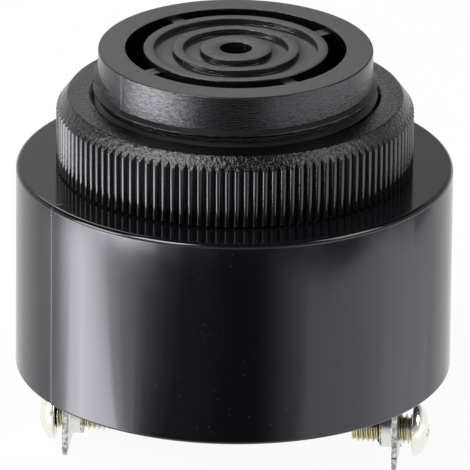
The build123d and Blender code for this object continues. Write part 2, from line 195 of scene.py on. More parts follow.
def new_material(name):
    """An empty node material, and add_node for its tree."""
    material = bpy.data.materials.new(name)
    material.use_nodes = True
    material.node_tree.nodes.clear()
    return material, partial(add_node, material.node_tree)


def parting_line(add, place, mould_turn, normal):
    """The mould's parting line: a flash about 0.2 mm wide in the plane through the axis, as a normal."""
    plane = (math.sin(mould_turn), -math.cos(mould_turn), 0.0)
    across = add("ShaderNodeVectorMath", {0: place, 1: plane}, operation="DOT_PRODUCT")
    aside = add("ShaderNodeMath", {0: across.outputs["Value"]}, operation="ABSOLUTE")
    near, far = 0.03 * MM, 0.13 * MM
    line = add(
        "ShaderNodeMapRange",
        {"Value": aside.outputs[0], "From Min": near, "From Max": far, "To Min": 1.0, "To Max": 0.0},
        interpolation_type="SMOOTHSTEP",
    )
    flash = add(
        "ShaderNodeBump",
        {"Strength": 0.9, "Distance": 0.03 * MM, "Height": line.outputs[0], "Normal": normal},
    )
    return flash.outputs["Normal"]


def upward(add):
    """How far a face looks up: 1 where it is level and 0 where it is upright."""
    facing = add("ShaderNodeNewGeometry").outputs["True Normal"]
    return add("ShaderNodeSeparateXYZ", {"Vector": facing}).outputs["Z"]


def gloss_abs(colours, mould_turn):
    """ABS moulded against a polished tool: deep black and mirror-like, with slow sink waves."""
    material, add = new_material("polished_black_abs")
    place = add("ShaderNodeTexCoord").outputs["Object"]
    # Sink marks of about 14 mm bend the reflections; they rise by some 16 microns
    waves = add("ShaderNodeTexNoise", {"Vector": place, "Scale": 1 / (14 * MM), "Detail": 1.5})
    sunk = add(
        "ShaderNodeBump", {"Strength": 1.0, "Distance": 0.016 * MM, "Height": waves.outputs["Fac"]}
    ).outputs["Normal"]
    # Flow marks of about 3 mm ripple the edges of the reflections
    flow = add(
        "ShaderNodeTexNoise", {"Vector": place, "Scale": 1 / (3 * MM), "Detail": 2.0, "Distortion": 0.6}
    ).outputs["Fac"]
    rippled = add(
        "ShaderNodeBump", {"Strength": 1.0, "Distance": 0.0016 * MM, "Height": flow, "Normal": sunk}
    ).outputs["Normal"]
    # Dust: faint specks of about 0.1 mm
    dust = add("ShaderNodeTexNoise", {"Vector": place, "Scale": 1 / (0.24 * MM), "Detail": 0.0})
    specks = add(
        "ShaderNodeMapRange",
        {"Value": dust.outputs["Fac"], "From Min": 0.78, "From Max": 0.88, "To Min": 0.0, "To Max": 0.045},
    )
    tone = add(
        "ShaderNodeMix",
        {"Factor": specks.outputs[0], "A": linear(colours.housing), "B": linear("#b8b8bc")},
        data_type="RGBA",
    )
    rough = add(
        "ShaderNodeMapRange",
        {"Value": flow, "From Min": 0.3, "From Max": 0.7, "To Min": 0.09, "To Max": 0.13},
    )
    shader = add(
        "ShaderNodeBsdfPrincipled",
        {
            "Base Color": tone.outputs["Result"],
            "Roughness": rough.outputs[0],
            "IOR": 1.5,
            "Normal": parting_line(add, place, mould_turn, rippled),
        },
    )
    add("ShaderNodeOutputMaterial", {"Surface": shader.outputs[0]})
    return material


def satin_abs(colours, mould_turn):
    """The same ABS where the tool was turned and left unpolished: satin, with fine rings round the neck."""
    material, add = new_material("turned_satin_abs")
    place = add("ShaderNodeTexCoord").outputs["Object"]
    up = upward(add)
    # Tool marks: streaks about 0.9 mm long and 0.1 mm high, all round the neck's wall
    depth = add(
        "ShaderNodeMapRange", {"Value": up, "From Min": 0.3, "From Max": 0.9, "To Min": 1.0, "To Max": 0.1}
    ).outputs[0]
    flattened = add("ShaderNodeMapping", {"Vector": place, "Scale": (1.0, 1.0, 9.0)}).outputs[0]
    marks = add("ShaderNodeTexNoise", {"Vector": flattened, "Scale": 1 / (0.9 * MM), "Detail": 2.0})
    marked = add(
        "ShaderNodeBump", {"Strength": depth, "Distance": 0.04 * MM, "Height": marks.outputs["Fac"]}
    ).outputs["Normal"]
    # Grain of about 0.2 mm, drawn that coarse so that it shows
    grain = add("ShaderNodeTexNoise", {"Vector": place, "Scale": 1 / (0.2 * MM), "Detail": 1.0})
    grained = add(
        "ShaderNodeBump",
        {"Strength": 0.7, "Distance": 0.025 * MM, "Height": grain.outputs["Fac"], "Normal": marked},
    ).outputs["Normal"]
    # The grille's upward faces are duller than the neck's wall
    rough = add(
        "ShaderNodeMapRange", {"Value": up, "From Min": 0.3, "From Max": 0.9, "To Min": 0.2, "To Max": 0.42}
    )
    shader = add(
        "ShaderNodeBsdfPrincipled",
        {
            "Base Color": linear(colours.housing),
            "Roughness": rough.outputs[0],
            "IOR": 1.5,
            "Normal": parting_line(add, place, mould_turn, grained),
        },
    )
    add("ShaderNodeOutputMaterial", {"Surface": shader.outputs[0]})
    return material


def grained_abs(colours):
    """ABS moulded against a spark-eroded tool: black, with a fine leathery grain that sparkles."""
    material, add = new_material("spark_grained_abs")
    place = add("ShaderNodeTexCoord").outputs["Object"]
    up = upward(add)
    # Grain of about 0.4 mm: strong on the top and its chamfer, and worn away on the upright flutes
    grain = add(
        "ShaderNodeTexNoise", {"Vector": place, "Scale": 1 / (0.4 * MM), "Detail": 3.0, "Roughness": 0.6}
    )
    depth = add(
        "ShaderNodeMapRange", {"Value": up, "From Min": 0.2, "From Max": 0.5, "To Min": 0.08, "To Max": 1.0}
    )
    grained = add(
        "ShaderNodeBump",
        {"Strength": depth.outputs[0], "Distance": 0.13 * MM, "Height": grain.outputs["Fac"]},
    )
    rough = add(
        "ShaderNodeMapRange",
        {"Value": up, "From Min": 0.2, "From Max": 0.5, "To Min": 0.12, "To Max": 0.17},
    )
    # The grain shades itself where it faces up, so the top shines less
    sheen = add(
        "ShaderNodeMapRange",
        {"Value": up, "From Min": 0.7, "From Max": 0.95, "To Min": 0.5, "To Max": 0.17},
    )
    shader = add(
        "ShaderNodeBsdfPrincipled",
        {
            "Base Color": linear(colours.nut),
            "Roughness": rough.outputs[0],
            "IOR": 1.48,
            "Specular IOR Level": sheen.outputs[0],
            "Normal": grained.outputs["Normal"],
        },
    )
    add("ShaderNodeOutputMaterial", {"Surface": shader.outputs[0]})
    return material


def tinned_brass(colours, sheared, collar_end):
    """Brass sheet dipped in tin: pale and soft, mottled grey where it was sheared and handled."""
    material, add = new_material("tinned_brass_sheet")
    place = add("ShaderNodeTexCoord").outputs["Object"]
    # Mottling of about 0.45 mm
    mottle = add(
        "ShaderNodeTexNoise", {"Vector": place, "Scale": 1 / (0.45 * MM), "Detail": 4.0}
    ).outputs["Fac"]
    # The sheared edges of the tab and the collars' ends are duller than the rolled faces
    spot = add("ShaderNodeSeparateXYZ", {"Vector": place}).outputs
    aside = add("ShaderNodeMath", {0: spot["Y"]}, operation="ABSOLUTE")
    edge = add("ShaderNodeMath", {0: aside.outputs[0], 1: sheared}, operation="GREATER_THAN")
    inward = add("ShaderNodeMath", {0: spot["X"]}, operation="ABSOLUTE")
    end = add("ShaderNodeMath", {0: inward.outputs[0], 1: collar_end}, operation="LESS_THAN")
    where = add("ShaderNodeMath", {0: edge.outputs[0], 1: end.outputs[0]}, operation="MAXIMUM")
    dull = add("ShaderNodeMath", {0: where.outputs[0], 1: mottle}, operation="MULTIPLY")
    patches = add(
        "ShaderNodeMapRange",
        {"Value": dull.outputs[0], "From Min": 0.34, "From Max": 0.6, "To Min": 0.0, "To Max": 1.0},
    )
    tone = add(
        "ShaderNodeMix",
        {"Factor": patches.outputs[0], "A": linear(colours.tin), "B": linear(colours.tin_dull)},
        data_type="RGBA",
    )
    bump = add("ShaderNodeBump", {"Strength": 0.5, "Distance": 0.02 * MM, "Height": mottle})
    rough = add(
        "ShaderNodeMapRange",
        {"Value": mottle, "From Min": 0.3, "From Max": 0.7, "To Min": 0.25, "To Max": 0.42},
    )
    shader = add(
        "ShaderNodeBsdfPrincipled",
        {
            "Base Color": tone.outputs["Result"],
            "Metallic": 1.0,
            "Roughness": rough.outputs[0],
            "Normal": bump.outputs["Normal"],
        },
    )
    add("ShaderNodeOutputMaterial", {"Surface": shader.outputs[0]})
    return material


def nickel_steel(colours, level, root, crest):
    """Steel screw with a nickel plating: bright and a little warm, with painted shade that turns its thread
    darker and yellower towards the roots.
    """
    material, add = new_material("nickel_plated_steel")
    place = add("ShaderNodeTexCoord").outputs["Object"]
    lift = add("ShaderNodeVectorMath", {0: place, 1: (0.0, 0.0, -level)}, operation="ADD")
    flat = add("ShaderNodeVectorMath", {0: lift.outputs[0], 1: (0.0, 1.0, 1.0)}, operation="MULTIPLY")
    radius = add("ShaderNodeVectorMath", {0: flat.outputs[0]}, operation="LENGTH").outputs["Value"]
    # Painted shade: the thread's colour turns darker and yellower from its crest down to its root
    root_shade = add(
        "ShaderNodeMapRange",
        {"Value": radius, "From Min": root, "From Max": crest, "To Min": 1.0, "To Max": 0.25},
    )
    # Only the thread takes this painted shade: it is no wider than its crest, and lies nearer the axis than
    # both heads
    thread_reach, heads_from = crest + 0.03 * MM, 17.5 * MM
    slim = add("ShaderNodeMath", {0: radius, 1: thread_reach}, operation="LESS_THAN")
    along = add("ShaderNodeSeparateXYZ", {"Vector": place}).outputs["X"]
    inward = add("ShaderNodeMath", {0: along}, operation="ABSOLUTE")
    under = add("ShaderNodeMath", {0: inward.outputs[0], 1: heads_from}, operation="LESS_THAN")
    thread = add("ShaderNodeMath", {0: slim.outputs[0], 1: under.outputs[0]}, operation="MULTIPLY")
    yellow = add("ShaderNodeMath", {0: root_shade.outputs[0], 1: thread.outputs[0]}, operation="MULTIPLY")
    tone = add(
        "ShaderNodeMix",
        {"Factor": yellow.outputs[0], "A": linear(colours.nickel), "B": linear(colours.nickel_thread_shade)},
        data_type="RGBA",
    )
    # Plating of about 0.3 mm unevenness, barely felt
    uneven = add(
        "ShaderNodeTexNoise", {"Vector": place, "Scale": 1 / (0.3 * MM), "Detail": 2.0}
    ).outputs["Fac"]
    bump = add("ShaderNodeBump", {"Strength": 0.3, "Distance": 0.01 * MM, "Height": uneven})
    rough = add(
        "ShaderNodeMapRange",
        {"Value": uneven, "From Min": 0.3, "From Max": 0.7, "To Min": 0.16, "To Max": 0.26},
    )
    shader = add(
        "ShaderNodeBsdfPrincipled",
        {
            "Base Color": tone.outputs["Result"],
            "Metallic": 1.0,
            "Roughness": rough.outputs[0],
            "Normal": bump.outputs["Normal"],
        },
    )
    add("ShaderNodeOutputMaterial", {"Surface": shader.outputs[0]})
    return material


def inner_finish(name, base, other, grain, roughness, metallic=0.0, stretch=(1.0, 1.0, 1.0)):
    """A finish of the parts inside: two near tones in a grain of a real size, over a small bump."""
    material, add = new_material(name)
    place = add("ShaderNodeTexCoord").outputs["Object"]
    stretched = add("ShaderNodeMapping", {"Vector": place, "Scale": stretch}).outputs[0]
    noise = add(
        "ShaderNodeTexNoise", {"Vector": stretched, "Scale": 1 / grain, "Detail": 3.0}
    ).outputs["Fac"]
    tone = add("ShaderNodeMix", {"Factor": noise, "A": linear(base), "B": linear(other)}, data_type="RGBA")
    bump = add("ShaderNodeBump", {"Strength": 0.4, "Distance": grain / 12, "Height": noise})
    shader = add(
        "ShaderNodeBsdfPrincipled",
        {
            "Base Color": tone.outputs["Result"],
            "Metallic": metallic,
            "Roughness": roughness,
            "Normal": bump.outputs["Normal"],
        },
    )
    add("ShaderNodeOutputMaterial", {"Surface": shader.outputs[0]})
    return material


def select_only(*pieces):
    """Selects these pieces alone, with the first of them active."""
    bpy.ops.object.select_all(action="DESELECT")
    for piece in pieces:
        piece.select_set(True)
    bpy.context.view_layer.objects.active = pieces[0]


def edit_all():
    """Opens the active piece in edit mode, with everything selected."""
    bpy.ops.object.mode_set(mode="EDIT")
    bpy.ops.mesh.select_all(action="SELECT")


def deselect_mesh(mesh):
    """Deselects everything in a mesh, in object mode."""
    for item in (*mesh.vertices, *mesh.edges, *mesh.polygons):
        item.select = False


def coat(piece, *materials):
    """Gives a piece these materials and no others."""
    piece.data.materials.clear()
    for material in materials:
        piece.data.materials.append(material)


def block(name, size, centre):
    """A box of this size about a centre."""
    bpy.ops.mesh.primitive_cube_add(size=1)
    piece = bpy.context.object
    piece.name = piece.data.name = name
    edit_all()
    bpy.ops.transform.resize(value=size)
    bpy.ops.transform.translate(value=centre)
    bpy.ops.object.mode_set(mode="OBJECT")
    return piece


def start_piece(name):
    """A new piece with one vertex at the origin, open in edit mode."""
    bpy.ops.mesh.primitive_plane_add(size=MM)
    piece = bpy.context.object
    piece.name = piece.data.name = name
    edit_all()
    bpy.ops.mesh.merge(type="CENTER")
    return piece


def draw_outline(outline):
    """Extrudes the one selected vertex along an outline of (radius, level), and back to its start."""
    bpy.ops.transform.translate(value=(outline[0][0], 0, outline[0][1]))
    for here, there in zip(outline, outline[1:] + outline[:1]):
        step = (there[0] - here[0], 0, there[1] - here[1])
        bpy.ops.mesh.extrude_vertices_move(TRANSFORM_OT_translate={"value": step})
    bpy.ops.mesh.select_all(action="SELECT")
    bpy.ops.mesh.remove_doubles(threshold=WELD)


def turned(name, outline, steps):
    """A piece turned about Z from a closed outline of (radius, level)."""
    piece = start_piece(name)
    draw_outline(outline)
    bpy.ops.mesh.spin(steps=steps, angle=math.tau, center=(0, 0, 0), axis=(0, 0, 1))
    bpy.ops.mesh.select_all(action="SELECT")
    bpy.ops.mesh.remove_doubles(threshold=WELD)
    bpy.ops.mesh.normals_make_consistent(inside=False)
    bpy.ops.object.mode_set(mode="OBJECT")
    return piece


def round_rings(piece, rings, offset, segments):
    """Bevels the edges that run round a turned piece at these (radius, level) places."""
    mesh = piece.data
    select_only(piece)
    deselect_mesh(mesh)
    near = 0.002 * MM
    spots = [
        any(abs(math.hypot(v.co.x, v.co.y) - r) < near and abs(v.co.z - z) < near for r, z in rings)
        for v in mesh.vertices
    ]
    for edge in mesh.edges:
        a, b = edge.vertices
        level = abs(mesh.vertices[a].co.z - mesh.vertices[b].co.z) < near
        reach = abs(mesh.vertices[a].co.xy.length - mesh.vertices[b].co.xy.length) < near
        edge.select = spots[a] and spots[b] and level and reach
    bpy.ops.object.mode_set(mode="EDIT")
    bpy.ops.mesh.select_mode(type="EDGE")
    bpy.ops.mesh.bevel(offset=offset, segments=segments, affect="EDGES", clamp_overlap=True)
    bpy.ops.mesh.select_mode(type="VERT")
    bpy.ops.object.mode_set(mode="OBJECT")


def join(*pieces):
    """Joins pieces into the first of them."""
    select_only(*pieces)
    bpy.ops.object.join()
    return pieces[0]


def apply_modifier(piece, modifier):
    """Applies one modifier of a piece."""
    select_only(piece)
    bpy.ops.object.modifier_apply(modifier=modifier.name)


def cut(piece, tool):
    """Cuts a tool shape out of a piece, and removes the tool."""
    modifier = piece.modifiers.new("cut", "BOOLEAN")
    modifier.operation = "DIFFERENCE"
    modifier.solver = "EXACT"
    modifier.object = tool
    apply_modifier(piece, modifier)
    bpy.data.objects.remove(tool)


def settle(piece, place=(0, 0, 0), turn=(0, 0, 0), angle=30):
    """Puts a piece in its place, applies that to its mesh and smooths its shading."""
    piece.location = place
    piece.rotation_euler = turn
    select_only(piece)
    bpy.ops.object.transform_apply(location=True, rotation=True, scale=True)
    bpy.ops.object.shade_smooth_by_angle(angle=math.radians(angle))
    # Weighted normals keep the large flat walls flat beside their small edge rounds
    weighted = piece.modifiers.new("flat_walls", "WEIGHTED_NORMAL")
    weighted.mode = "FACE_AREA"
    weighted.keep_sharp = True
    apply_modifier(piece, weighted)
    return piece


def helix(name, half, pitch, turns, steps):
    """A ridge wound right-handed about Z, from half its profile as (radius, half width) up to its crest."""
    piece = start_piece(name)
    draw_outline([(r, -z) for r, z in half] + half[::-1])
    bpy.ops.object.mode_set(mode="OBJECT")
    screw = piece.modifiers.new("wind", "SCREW")
    screw.axis = "Z"
    screw.angle = math.tau * turns
    screw.screw_offset = pitch * turns
    screw.steps = screw.render_steps = round(steps * turns)
    screw.use_merge_vertices = False
    apply_modifier(piece, screw)
    edit_all()
    bpy.ops.mesh.fill_holes(sides=0)
    bpy.ops.mesh.select_all(action="SELECT")
    bpy.ops.mesh.normals_make_consistent(inside=False)
    bpy.ops.object.mode_set(mode="OBJECT")
    return piece


def make_housing(sizes, colours):
    """The housing: one moulding with its body, threaded neck, rim, slot, bridges and ringed disc."""
    body, bottom, shoulder, top = sizes.body_radius, sizes.body_bottom, sizes.shoulder, sizes.rim_top
    neck, slot, back = sizes.neck_radius, sizes.slot_outer, sizes.rim_top - sizes.front_wall
    # Inside: the walls, the hole that the cover closes and the ring that the diaphragm sits on
    cavity = body - 2.5 * MM
    hole, bore = cavity + 0.5 * MM, neck - 1.95 * MM
    ceiling, seat = shoulder - 2 * MM, shoulder - 3.6 * MM
    seat_inner, seat_outer = 15.8 * MM, 17.1 * MM
    outline = [(hole, bottom), (body, bottom), (body, shoulder), (neck, shoulder), (neck, top)]
    outline += [(slot, top), (slot, back), (bore, back), (bore, ceiling), (seat_inner, ceiling)]
    outline += [(seat_inner, seat), (seat_outer, seat), (seat_outer, ceiling), (cavity, ceiling)]
    outline += [(cavity, COVER_TOP), (hole, COVER_TOP)]
    shell = turned("housing_moulding", outline, steps=256)
    round_rings(shell, [(body, shoulder)], sizes.body_top_round, 6)
    round_rings(shell, [(body, bottom)], sizes.body_bottom_round, 4)
    round_rings(shell, [(neck, top)], 0.17 * MM, 3)
    round_rings(shell, [(slot, top)], 0.07 * MM, 2)

    # The disc's raised rings, from its rim to its hub, and the hole in its middle
    floor, rim, hub_hole = top - sizes.grille_recess, sizes.slot_inner, 1.57 * MM
    rim_inner, ring_outer, ring_inner, hub = rim - 1.03 * MM, 6.2 * MM, 5.15 * MM, 3.5 * MM
    outline = [(hub_hole, back), (rim, back), (rim, top), (rim_inner, top), (rim_inner, floor)]
    outline += [(ring_outer, floor), (ring_outer, top), (ring_inner, top), (ring_inner, floor)]
    outline += [(hub, floor), (hub, top), (hub_hole, top)]
    disc = turned("grille_disc", outline, steps=192)
    grooves = (rim_inner, ring_outer, ring_inner, hub)
    round_rings(disc, [(r, top) for r in (rim, *grooves)], 0.09 * MM, 3)
    round_rings(disc, [(r, floor) for r in grooves], 0.05 * MM, 2)
    round_rings(disc, [(hub_hole, top)], 0.06 * MM, 2)

    # Four bridges across the slot, each sunk into the disc and the rim
    reach, bridge_turn = slot - rim + 0.6 * MM, math.radians(39)
    height = sizes.front_wall - sizes.bridge_recess
    size, centre = (reach, sizes.bridge_width, height), ((rim + slot) / 2, 0, back + height / 2)
    bridges = block("bridges", size, centre)
    edit_all()
    bpy.ops.mesh.bevel(offset=0.08 * MM, segments=2, affect="EDGES")
    bpy.ops.mesh.select_all(action="SELECT")
    bpy.ops.mesh.spin(
        steps=3, dupli=True, angle=1.5 * math.pi, center=(0, 0, 0), axis=(0, 0, 1), use_auto_merge=False
    )
    bpy.ops.object.mode_set(mode="OBJECT")
    settle(bridges, turn=(0, 0, bridge_turn))

    start, root = 0.2 * MM, neck - 0.2 * MM
    turns = (sizes.thread_end - start) / sizes.thread_pitch
    half = [(root, 0.5 * MM), (neck, 0.4 * MM), (sizes.thread_radius, 0.07 * MM)]
    ridge = helix("neck_thread", half, sizes.thread_pitch, turns, steps=96)
    # The thread sinks back into the neck over its last part of a turn
    fade = math.radians(24)
    for v in ridge.data.vertices:
        turn = math.atan2(v.co.y, v.co.x)
        lap = round((v.co.z / sizes.thread_pitch * math.tau - turn) / math.tau)
        left = math.tau * turns - (turn + math.tau * lap)
        if left < fade:
            r = v.co.xy.length
            sink = (r - root) * (1 - max(left, 0) / fade)
            v.co.xy *= (r - sink) / r
    settle(ridge, place=(0, 0, shoulder + start), turn=(0, 0, sizes.thread_end_turn - math.tau * turns))

    housing = join(shell, disc, bridges, ridge)
    settle(housing)
    coat(housing, gloss_abs(colours, sizes.mould_turn), satin_abs(colours, sizes.mould_turn))
    # The body and its shoulder are polished, and what stands above the shoulder is satin
    for face in housing.data.polygons:
        face.material_index = 1 if face.center.z > shoulder + 0.02 * MM else 0
    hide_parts("housing")
    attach(housing, "case")


def make_ring_nut(sizes, colours):
    """The ring nut: a turned blank, cut round its edge by flutes that run out in its chamfer."""
    foot, top, outside, bore = sizes.bottom, sizes.top, sizes.radius, sizes.bore
    depth, bore_chamfer = sizes.flute_depth, 0.3 * MM
    # Steps round one flute, and rows up the chamfer as far as the flutes cut it
    steps, rows = 12, 12
    ridge, lip = top - sizes.chamfer_height, outside - sizes.chamfer_width
    run_out = depth * sizes.chamfer_height / sizes.chamfer_width
    arches = [(outside - depth * i / rows, ridge + run_out * i / rows) for i in range(rows + 1)]
    land = outside - depth - 0.1 * MM
    outline = [(bore + bore_chamfer, foot), (land, foot), (outside - sizes.foot_chamfer, foot)]
    outline += [(outside, foot + sizes.foot_chamfer), *arches, (lip, top), (bore + bore_chamfer, top)]
    outline += [(bore, top - bore_chamfer), (bore, foot + bore_chamfer)]
    nut = turned("fluted_ring_nut", outline, steps=steps * sizes.flutes)
    round_rings(nut, [(lip, top)], 0.14 * MM, 3)
    # Half a flute, from its rounded crest to its root: place in shares of the pitch, and share of the depth
    stations = (0.0, 0.079, 0.153, 0.218, 0.267, 0.385, 0.5)
    shares = (0.0, 0.021, 0.081, 0.178, 0.295, 0.652, 1.0)
    for v in nut.data.vertices:
        place = math.atan2(v.co.y, v.co.x) / math.tau * sizes.flutes
        crest = round(place)
        station = round(abs(place - crest) * steps)
        turn = (crest + math.copysign(stations[station], place - crest)) * math.tau / sizes.flutes
        r = min(v.co.xy.length, outside - depth * shares[station])
        v.co.xy = (r * math.cos(turn), r * math.sin(turn))
    settle(nut)
    coat(nut, grained_abs(colours))
    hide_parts("ring_nut")
    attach(nut, "ring_nut")


def make_terminal(sizes, material, side):
    """One terminal: a stamped blade with its stop and solder tail, and a tapped collar on its inner face."""
    name = "right" if side > 0 else "left"
    thick, wide = sizes.blade_thickness, sizes.blade_width
    middle = COVER_TOP / 2
    blade = block(f"blade_{name}", (thick, wide, COVER_TOP), (0, 0, middle))
    mesh = blade.data
    deselect_mesh(mesh)
    for edge in mesh.edges:
        a, b = (mesh.vertices[i].co for i in edge.vertices)
        edge.select = a.z < middle and b.z < middle and abs(a.y - b.y) < thick / 2
    bpy.ops.object.mode_set(mode="EDIT")
    bpy.ops.mesh.select_mode(type="EDGE")
    bpy.ops.mesh.bevel(offset=sizes.blade_corner, segments=1, affect="EDGES")
    bpy.ops.object.mode_set(mode="OBJECT")
    # The stop and the tail are drawn up from the tab's upper face
    deselect_mesh(mesh)
    for face in mesh.polygons:
        face.select = face.normal.z > 0.9
    bpy.ops.object.mode_set(mode="EDIT")
    bpy.ops.mesh.select_mode(type="FACE")
    tail = BLADE_HIGH[2] - COVER_TOP - sizes.stop_height
    for width, rise in ((sizes.stop_width, sizes.stop_height), (sizes.tail_width, tail)):
        bpy.ops.mesh.extrude_region_move(TRANSFORM_OT_translate={"value": (0, 0, 0)})
        bpy.ops.transform.resize(value=(1, width / wide, 1), center_override=(0, 0, 0))
        bpy.ops.mesh.extrude_region_move(TRANSFORM_OT_translate={"value": (0, 0, rise)})
        wide = width
    bpy.ops.mesh.select_mode(type="VERT")
    bpy.ops.object.mode_set(mode="OBJECT")

    bevel = blade.modifiers.new("worn_edges", "BEVEL")
    bevel.width = 0.05 * MM
    bevel.segments = 2
    bevel.limit_method = "ANGLE"
    apply_modifier(blade, bevel)
    bpy.ops.mesh.primitive_cylinder_add(vertices=64, radius=sizes.hole_radius, depth=6 * MM)
    drill = settle(bpy.context.object, (0, 0, sizes.screw_level), (0, math.pi / 2, 0))
    cut(blade, drill)

    hole, wall, long = sizes.hole_radius, sizes.collar_radius, sizes.collar_length
    mouth, root, root_height = wall - 0.04 * MM, wall + 0.12 * MM, 0.15 * MM
    outline = [(hole, -thick / 2), (root, 0), (wall, root_height), (mouth, long), (hole, long)]
    collar = turned(f"collar_{name}", outline, steps=64)
    round_rings(collar, [(mouth, long)], 0.1 * MM, 2)
    settle(collar, (-thick / 2, 0, sizes.screw_level), (0, -math.pi / 2, 0))
    terminal = join(blade, collar)
    settle(terminal, (sizes.blade_outside - thick / 2, 0, 0))
    if side < 0:
        settle(terminal, turn=(0, 0, math.pi))
    coat(terminal, material)
    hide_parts(f"terminal_{name}")
    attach(terminal, "case")


def make_screw(sizes, material, side):
    """One terminal screw: a pan head with a cross recess, over a rolled thread with a chamfered end."""
    name = "right" if side > 0 else "left"
    low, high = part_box(f"terminal_screw_{name}")
    # The recess cuts the head's top away, so the seat is measured from the screw's inner end
    seat = (low[0] if side > 0 else -high[0]) + sizes.screw_length
    crest, root, pitch = sizes.screw_radius, sizes.screw_root, sizes.screw_pitch
    head, edge, tall = sizes.head_radius, sizes.head_side, sizes.head_height
    # The head's underside is raised a little, so that it clears the blade when the screw is tightened
    underside, plug = 0.05 * MM, -0.3 * MM
    ball = (head**2 + (tall - edge) ** 2) / (2 * (tall - edge))
    radii = [head * (1 - i / 10) for i in range(11)]
    dome = [(r, tall - ball + math.sqrt(ball**2 - r**2)) for r in radii]
    outline = [(0, plug), (root, plug), (root, underside), (head, underside), *dome]
    pan = turned(f"head_{name}", outline, steps=96)
    round_rings(pan, [(head, underside)], 0.12 * MM, 3)
    round_rings(pan, [(head, edge)], 0.35 * MM, 4)
    long, narrow, taper = sizes.recess_span, sizes.recess_width, 0.72
    for size in ((narrow, long), (long, narrow)):
        slot = block("recess", (*size, 2 * sizes.recess_depth), (0, 0, 0))
        for v in slot.data.vertices:
            if v.co.z < 0:
                v.co.xy *= taper
        settle(slot, (0, 0, tall))
        cut(pan, slot)

    # The thread is one ridge wound along the shank, cut off square and chamfered at its end
    span, flank = sizes.screw_length, 0.42 * pitch
    half = [(root - 0.25 * MM, flank), (root, flank), (crest, 0.03 * MM)]
    ridge = helix(f"thread_{name}", half, pitch, span / pitch + 1.5, steps=40)
    settle(ridge, (0, 0, -span - 0.7 * pitch))
    end, chamfer, upper = 0.2 * MM, 0.35 * MM, -0.05 * MM
    outline = [(0, -span), (root - end, -span), (root, -span + end), (root, 0), (0, 0)]
    shank = turned(f"shank_{name}", outline, steps=48)
    for v in ridge.data.vertices:
        v.co.z = min(max(v.co.z, -span), upper)
        limit = crest - chamfer + (v.co.z + span)
        r = v.co.xy.length
        if r > limit:
            v.co.xy *= limit / r
    screw = join(pan, shank, ridge)
    settle(screw, (seat, 0, sizes.screw_level), (0, math.pi / 2, 0), angle=35)
    if side < 0:
        settle(screw, turn=(0, 0, math.pi), angle=35)
    screw.name = screw.data.name = f"pan_screw_{name}"
    coat(screw, material)
    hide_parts(f"terminal_screw_{name}")
    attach(screw, f"screw_{name}")


def dress_inner_parts(colours):
    """Finishes of the parts whose CAD shape stays: the cover and what it closes in."""
    # Rolled and pressed sheet has its grain along X, and a winding has its turns round Z
    rolled, wound = (1.0, 6.0, 1.0), (0.2, 0.2, 4.0)
    for nodes, *look in (
        # Moulded ABS: matte black, with a fine even grain
        (("back_cover",), "moulded_cover_abs", colours.cover, "#1b1b1e", 0.25 * MM, 0.42),
        # Cast silicone: milky and dull
        (("diaphragm_seal",), "cast_silicone", colours.silicone, "#c6c6c2", 0.8 * MM, 0.55),
        # Rolled brass: yellow metal with fine streaks
        (("diaphragm_plate",), "rolled_brass", colours.brass, "#b98f3e", 0.3 * MM, 0.28, 1.0, rolled),
        # Silver fired onto ceramic: pale and dull
        (("ceramic_disc",), "silvered_ceramic", colours.ceramic, "#c4c0b5", 0.2 * MM, 0.5),
        # Pressed paper laminate: brown, with long fibres
        (("circuit_board",), "phenolic_laminate", colours.board, "#8d6632", 0.5 * MM, 0.5, 0.0, rolled),
        # Moulded epoxy: black and matte
        (("drive_transistor", "polarity_diode"), "moulding_epoxy", colours.epoxy, "#232326", 0.15 * MM, 0.5),
        # Sintered ferrite: dark grey, dry and grainy
        (("coil_core",), "sintered_ferrite", colours.ferrite, "#45454a", 0.2 * MM, 0.6),
        # Enamelled wire: copper under clear enamel, ringed by its turns
        (("coil_winding",), "enamelled_copper", colours.copper, "#8a4213", 0.25 * MM, 0.3, 1.0, wound),
        # Shrunk sleeve: dark blue with a soft gloss
        (("smoothing_capacitor",), "shrunk_sleeve", colours.sleeve, "#252c4d", 1.5 * MM, 0.3),
        # Dipped resin: glossy and a little uneven
        (("timing_capacitor",), "dipped_coat", colours.dipped, "#a5701f", 0.8 * MM, 0.3),
        # Baked lacquer: tan with a soft gloss
        (("bias_resistor", "feedback_resistor"), "baked_lacquer", colours.lacquer, "#b39766", 0.6 * MM, 0.4),
        # Drawn PVC insulation: an even colour with a soft gloss
        (("ceramic_wire",), "red_pvc", colours.red_wire, "#8a1512", 0.5 * MM, 0.4),
        (("feedback_wire",), "blue_pvc", colours.blue_wire, "#1a367c", 0.5 * MM, 0.4),
        (("plate_wire",), "black_pvc", colours.black_wire, "#1f1f22", 0.5 * MM, 0.4),
    ):
        material = inner_finish(*look)
        for node in nodes:
            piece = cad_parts[node]
            if not piece.material_slots:
                raise RuntimeError(f"{node} has no material slot")
            for place in piece.material_slots:
                place.material = material


